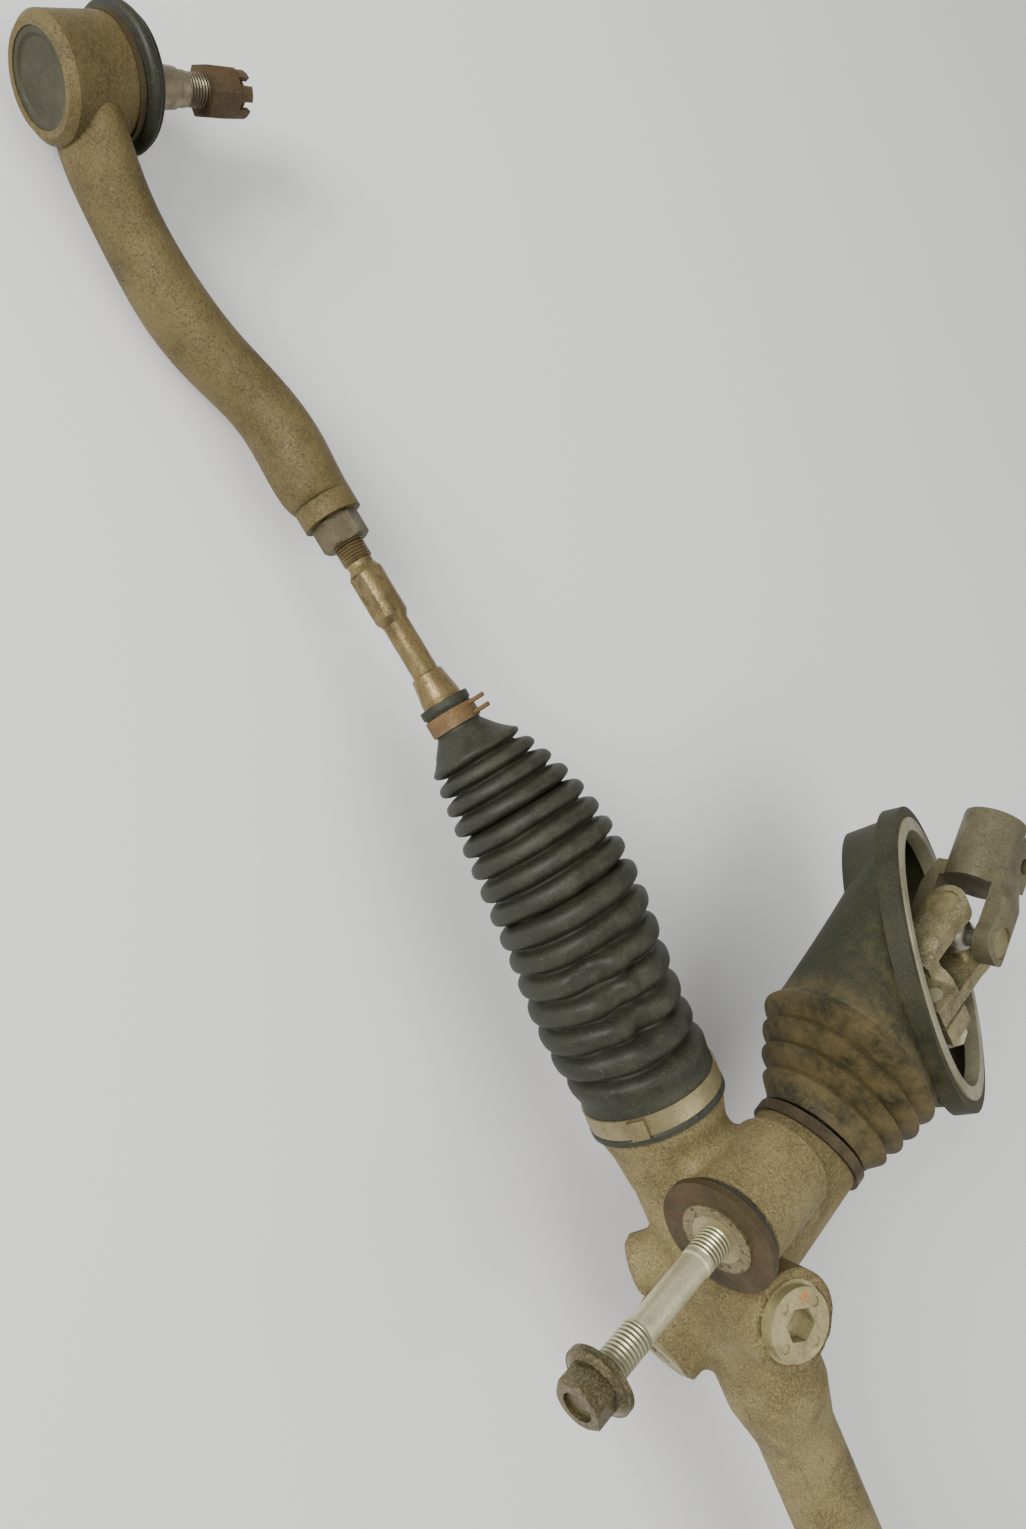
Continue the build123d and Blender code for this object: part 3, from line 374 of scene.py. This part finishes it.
def tube(rings):
    # rings: equal lists of points, joined in order
    count = len(rings[0])
    verts = [v for ring in rings for v in ring]
    faces = []
    for i in range(len(rings) - 1):
        for k in range(count):
            n = (k + 1) % count
            faces.append((i * count + k, i * count + n, (i + 1) * count + n, (i + 1) * count + k))
    return verts, faces


# ---------------------------------------------------------------- housing casting
# remesh size in mm, smoothing steps, and the fill in mm past which it counts in full
GRID, EASE, FILLED = 1.5, 90, 0.5
CLEAR, FADE = 1.5, 4


def world_tree(names):
    verts, faces = [], []
    for n in names:
        obj = NODES[n]
        start = len(verts)
        verts += [obj.matrix_world @ v.co for v in obj.data.vertices]
        faces += [tuple(start + i for i in poly.vertices) for poly in obj.data.polygons]
    return BVHTree.FromPolygons(verts, faces)


def modified(obj, kind, **settings):
    mod = obj.modifiers.new(kind, kind)
    for key, value in settings.items():
        setattr(mod, key, value)
    graph = bpy.context.evaluated_depsgraph_get()
    mesh = bpy.data.meshes.new_from_object(obj.evaluated_get(graph))
    obj.modifiers.clear()
    obj.data = mesh
    return [v.co.copy() for v in mesh.vertices]


def casting():
    # the housing's own surface, with the hollow corners between its bosses filled
    # as a casting fills them, wherever no fitted part lies close by
    source = NODES["rack_housing"]
    skin = world_tree(["rack_housing"])
    fitted = world_tree([n for n in NODES if n != "rack_housing"])
    obj = bpy.data.objects.new("cast_housing", source.data.copy())
    bpy.context.scene.collection.objects.link(obj)
    obj.data.transform(source.matrix_world)
    modified(obj, "REMESH", mode="VOXEL", voxel_size=GRID * MM)
    eased = modified(obj, "SMOOTH", factor=0.5, iterations=EASE)
    for vert, soft in zip(obj.data.vertices, eased):
        on, normal, _, _ = skin.find_nearest(soft)
        fill = (soft - on).dot(normal) / MM
        gap = (fitted.find_nearest(soft)[0] - soft).length / MM
        share = min(1.0, max(0.0, fill / FILLED)) * min(1.0, max(0.0, (gap - CLEAR) / FADE))
        vert.co = on.lerp(soft, share)
    for poly in obj.data.polygons:
        poly.use_smooth = True
    obj.data.materials.clear()
    obj.data.materials.append(sand)
    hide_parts("rack_housing")
    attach(obj, "housing")


casting()

# ---------------------------------------------------------------- bellows
# distances in mm from the clamp; each fold is STEP shorter than the one before
FOLDS = 15
FIRST, PITCH, STEP = 13.5, 12.4, 0.4
NECK_R, WALL = 26.0, 1.2
CONE = STRAIGHT / MM + 96.0
DEPTH = 6.2
SEGMENTS = 128
crests = [FIRST]
for k in range(FOLDS - 1):
    crests.append(crests[-1] + PITCH - STEP * k)
TANG = Vector((0, 0, 1))


def crest_radius(s):
    away = (s - 80.0) / 70.0
    return 29.9 - (11.0 if away > 0 else 1.8) * away * away


def outline(s):
    # outside radius of the bellows s mm from the clamp
    if s < -4.2:
        return NECK_R + WALL + 0.9
    if s < 4.0:
        return NECK_R + WALL
    if s < crests[0]:
        p = max(0.0, (s - 8.6) / (crests[0] - 8.6))
        return NECK_R + WALL + (crest_radius(s) - NECK_R - WALL) * p ** 0.8
    if s > crests[-1]:
        p = min(1.0, (s - crests[-1]) / (CONE - crests[-1]))
        if s > CONE + 8.6:
            return 10.2
        return crest_radius(crests[-1]) + (9.4 - crest_radius(crests[-1])) * p ** 0.8
    k = max(i for i, c in enumerate(crests) if c <= s)
    k = min(k, FOLDS - 2)
    p = (s - crests[k]) / (crests[k + 1] - crests[k])
    lean = p - 0.07 * math.sin(2 * math.pi * p)
    return crest_radius(s) - DEPTH * (1 - abs(math.cos(math.pi * lean))) ** 1.15


SAG = Vector((-0.1, 0.757, 0.65)).normalized()


def sagging(s):
    # the rubber sits to one side by the clamp and to the other past the ball
    if 9 < s < 70:
        return SAG * (-2.6 * math.sin(math.pi * (s - 9) / 61)) * MM
    if 70 <= s < 156:
        return SAG * (3.3 * math.sin(math.pi * (s - 70) / 86)) * MM
    return Vector((0, 0, 0))


def centre(s):
    # centre line: along the rack, then along the tie rod, eased round the ball
    return straight_centre(s) + sagging(s)


def straight_centre(s):
    ease = 26.0
    d = s - STRAIGHT / MM
    if d < -ease:
        return CLAMP + OUT * s * MM
    if d > ease:
        return BALL + ROD * d * MM
    t = (d + ease) / (2 * ease)
    a, b = BALL - OUT * ease * MM, BALL + ROD * ease * MM
    return a * (1 - t) ** 2 + BALL * 2 * t * (1 - t) + b * t * t


def heading(s):
    return (straight_centre(s + 0.5) - straight_centre(s - 0.5)).normalized()


# dents: mm from the clamp, degrees round, length, width, depth
DENTS = [(36, 340, 7, 14, 5.5), (49, 328, 7, 12, 5.2), (61, 314, 6, 14, 5.6), (51, 354, 9, 11, 4.2),
         (68, 340, 6, 17, 3.4), (30, 300, 7, 16, 2.2)]


def pressed(s, a, r):
    # a is the angle round the bellows, in degrees
    for at, turn, long, wide, deep in DENTS:
        off = (a - turn + 180) % 360 - 180
        r -= deep * math.exp(-((s - at) / long) ** 2 - (off / wide) ** 2)
    return r


def bellows_ring(s, inset, dented):
    c, t = centre(s), heading(s)
    u = (TANG - t * TANG.dot(t)).normalized()
    v = t.cross(u)
    ring = []
    for k in range(SEGMENTS):
        a = 2 * math.pi * k / SEGMENTS
        n = u * math.cos(a) + v * math.sin(a)
        wobble = 0.0
        if 8 < s < CONE - 2:
            wobble = 0.9 * noise.noise(n * 1.6 + Vector((s * 0.03, 0, 0)))
        shift = 0.9 * noise.noise(n * 1.1 + Vector((0, s * 0.05, 3.0))) if 8 < s < CONE - 6 else 0.0
        r = outline(s + shift)
        if dented:
            r = pressed(s, math.degrees(a), r)
        ring.append(c + n * (max(r + wobble * 0.35 - inset, 8.05) * MM))
    return ring


def bellows_piece(name, low, high, side):
    steps = max(4, round((high - low) / 0.75))
    marks = [low + (high - low) * i / steps for i in range(steps + 1)]
    outer = [bellows_ring(s, 0, side == "near") for s in marks]
    inner = [bellows_ring(s, WALL, side == "near") for s in reversed(marks)]
    verts, faces = tube(outer + inner)
    return piece(name + "_" + side, verts, faces, bellows_rubber, side == "far")


valley_a = (crests[6] + crests[7]) / 2
valley_b = (crests[10] + crests[11]) / 2
END = CONE + 12.0


for side in ("near", "far"):
    a = bellows_piece("bellows_wide", -7.0, valley_a, side)
    b = bellows_piece("bellows_middle", valley_a, valley_b, side)
    c = bellows_piece("bellows_neck", valley_b, END, side)
    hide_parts("bellows_" + side)
    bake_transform(a)
    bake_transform(b)
    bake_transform(c)

# ---------------------------------------------------------------- ball joint boots
BOOT = [(20.5, 10.6), (20.5, 12.7), (21.6, 13.3), (23.6, 13.6), (24.6, 14.6), (24.8, 16.0), (24.3, 17.3),
        (23.0, 17.8), (22.7, 18.4), (23.0, 19.2), (22.0, 20.2), (18.5, 21.4), (14.5, 22.6), (12.0, 23.6),
        (10.9, 24.2), (10.9, 26.2), (10.2, 26.5), (7.95, 26.5), (7.95, 24.0), (12.5, 21.8), (19.0, 19.5),
        (21.6, 18.0), (22.4, 16.4), (22.0, 15.0), (19.4, 14.2), (19.3, 10.6), (20.5, 10.6)]


def rounded(points, times):
    for _ in range(times):
        fresh = [points[0]]
        for (a, b), (c, d) in zip(points, points[1:]):
            fresh += [(a * 0.75 + c * 0.25, b * 0.75 + d * 0.25), (a * 0.25 + c * 0.75, b * 0.25 + d * 0.75)]
        points = fresh + [points[-1]]
    return points


def boot(side):
    rings = []
    for r, d in rounded(BOOT, 2):
        share = min(1.0, max(0.0, (d - 14) / 9))
        axis = (Y * (1 - share) + STUD * share).normalized()
        u = Vector((1, 0, 0)) - axis * axis.x
        u.normalize()
        v = axis.cross(u)
        c = HEAD + axis * d * MM
        rings.append([c + (u * math.cos(t) + v * math.sin(t)) * r * MM
                      for t in [2 * math.pi * k / 96 for k in range(96)]])
    verts, faces = tube(rings)
    obj = piece("boot_" + side, verts, faces, boot_rubber, side == "far")
    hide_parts("outer_boot_" + side)
    low, high = HEAD + Y * 14 * MM, HEAD + STUD * 23.5 * MM
    if side == "far":
        low, high = mirrored(low), mirrored(high)
    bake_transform(obj)


boot("near")
boot("far")

# ---------------------------------------------------------------- floor, light, camera
low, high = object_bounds()
FLOOR_Z = low.z - 0.5 * MM
FLOOR_HALF = 9
floor_paint = Paint("floor")
pale_tone = floor_paint.ramp(floor_paint.noise(3, 3, 0.5), 0.2, 0.8)
floor_color = floor_paint.mix(pale_tone, (0.88, 0.88, 0.87), (0.91, 0.91, 0.90))
floor_mat = floor_paint.close(floor_color, 0.9, spec=0.1)
ground_mesh = bpy.data.meshes.new("floor")
corners = [(x * FLOOR_HALF, y * FLOOR_HALF, FLOOR_Z) for x, y in ((-1, -1), (1, -1), (1, 1), (-1, 1))]
ground_mesh.from_pydata(corners, [], [(0, 1, 2, 3)])
floor = bpy.data.objects.new("floor", ground_mesh)
bpy.context.scene.collection.objects.link(floor)
floor.data.materials.append(floor_mat)

EYE = Vector((-0.2517, -0.3211, 0.3001))
RIGHT = Vector((0.3883, 0.6471, 0.6561)).normalized()
BACK = Vector((-0.1523, -0.6572, 0.7382)).normalized()
UP = BACK.cross(RIGHT).normalized()
RIGHT = UP.cross(BACK).normalized()
camera = bpy.data.objects.new("camera", bpy.data.cameras.new("camera"))
bpy.context.scene.collection.objects.link(camera)
camera.matrix_world = Matrix.Translation(EYE) @ Matrix((RIGHT, UP, BACK)).transposed().to_4x4()
camera.data.lens = 28.25
camera.data.sensor_width = 36
camera.data.clip_start = 0.01
bpy.context.scene.camera = camera

world = bpy.data.worlds.new("world")
bpy.context.scene.world = world
world.use_nodes = True
world.node_tree.nodes["Background"].inputs["Color"].default_value = (1.0, 1.0, 0.98, 1)
world.node_tree.nodes["Background"].inputs["Strength"].default_value = 0.55
TARGET = Vector((-0.08, -0.03, 0.0))


def lamp(name, side, up, toward, size, power):
    light = bpy.data.objects.new(name, bpy.data.lights.new(name, "AREA"))
    light.data.size = size
    light.data.energy = power
    light.location = TARGET + RIGHT * side + UP * up + BACK * toward
    light.rotation_euler = (TARGET - light.location).to_track_quat("-Z", "Y").to_euler()
    bpy.context.scene.collection.objects.link(light)


lamp("key", -0.7, 0.5, 1.5, 0.8, 34)
lamp("fill", 1.3, -0.2, 1.1, 1.4, 12)
